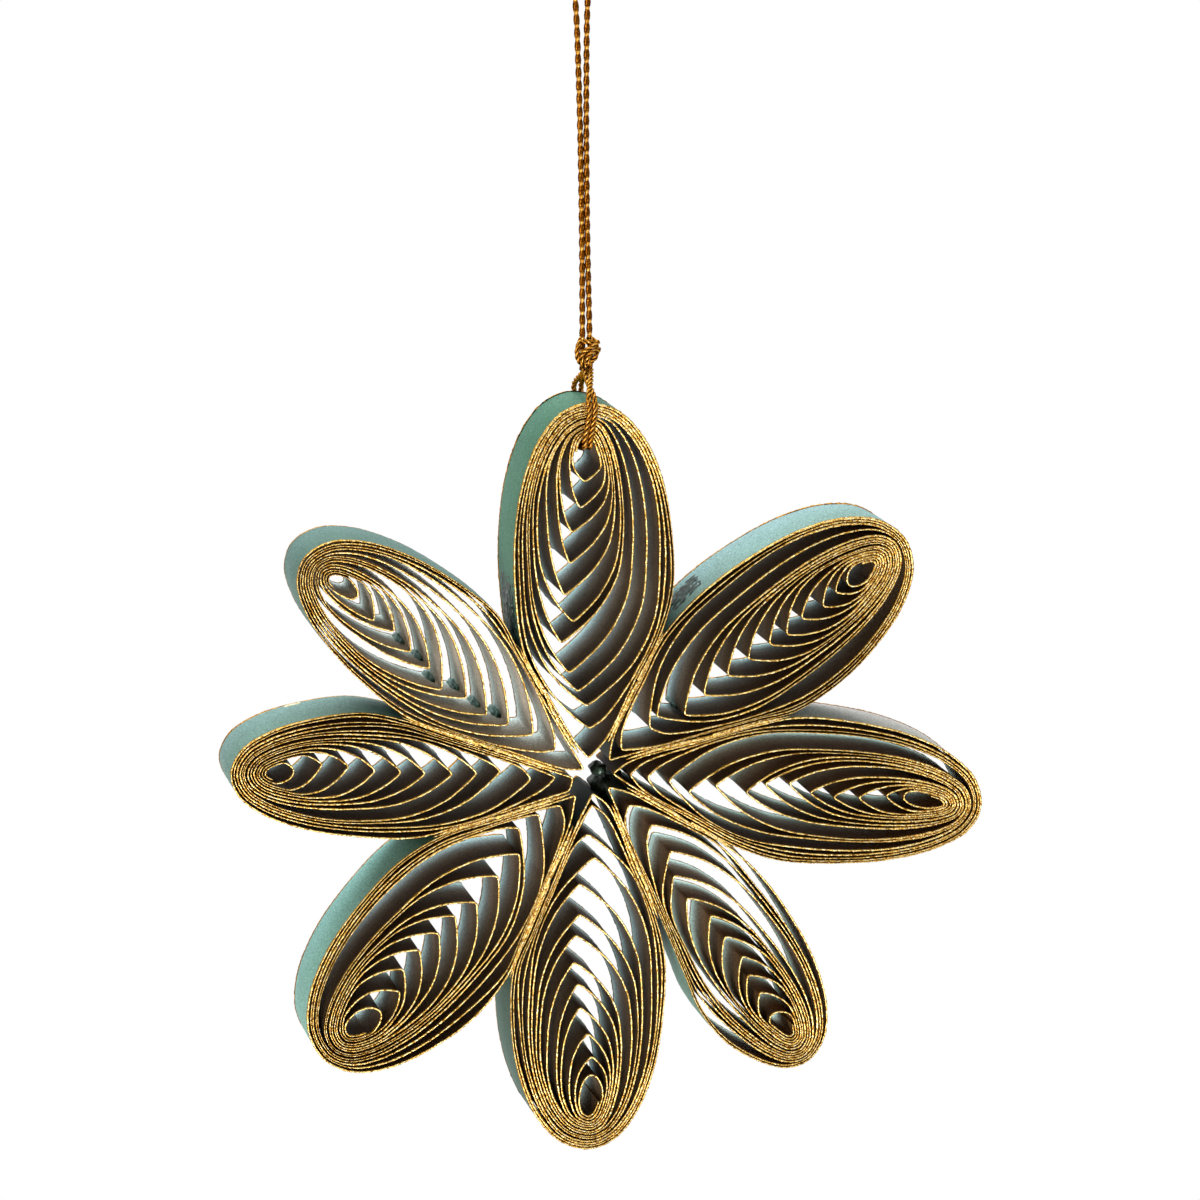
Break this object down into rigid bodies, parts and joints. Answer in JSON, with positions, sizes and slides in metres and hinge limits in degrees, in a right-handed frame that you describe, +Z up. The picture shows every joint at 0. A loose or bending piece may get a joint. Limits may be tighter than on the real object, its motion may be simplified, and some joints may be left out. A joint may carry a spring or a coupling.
{
  "type": "quilled paper snowflake",
  "caption": "Hanging ornament of quilled paper: teardrop coils wound from gilt-edged strips, glued side by side round an open centre, on a knotted gilt cord.",
  "frame": {"origin": "the inner side of the top of the cord's loop, where it hangs on a hook or a twig", "axes": "+Z up along the hanging cord, -Y out of the snowflake's face, +X to the right seen from the front"},
  "size_m": [0.0744, 0.0088, 0.1214],
  "materials": {
    "gilt_edged_paper": "pearlescent teal paper with glittering gold edges",
    "gilt_cord": "twisted gold-brown metallic cord"
  },
  "bodies": {
    "root": {"petal_top": "gilt_edged_paper", "petal_upper_right": "gilt_edged_paper", "petal_right": "gilt_edged_paper", "petal_lower_right": "gilt_edged_paper", "petal_bottom": "gilt_edged_paper", "petal_lower_left": "gilt_edged_paper", "petal_left": "gilt_edged_paper", "petal_upper_left": "gilt_edged_paper", "cord_hanging_loop": "gilt_cord", "cord_knot": "gilt_cord", "cord_sling_left": "gilt_cord", "cord_sling_right": "gilt_cord"}
  },
  "joints": []
}
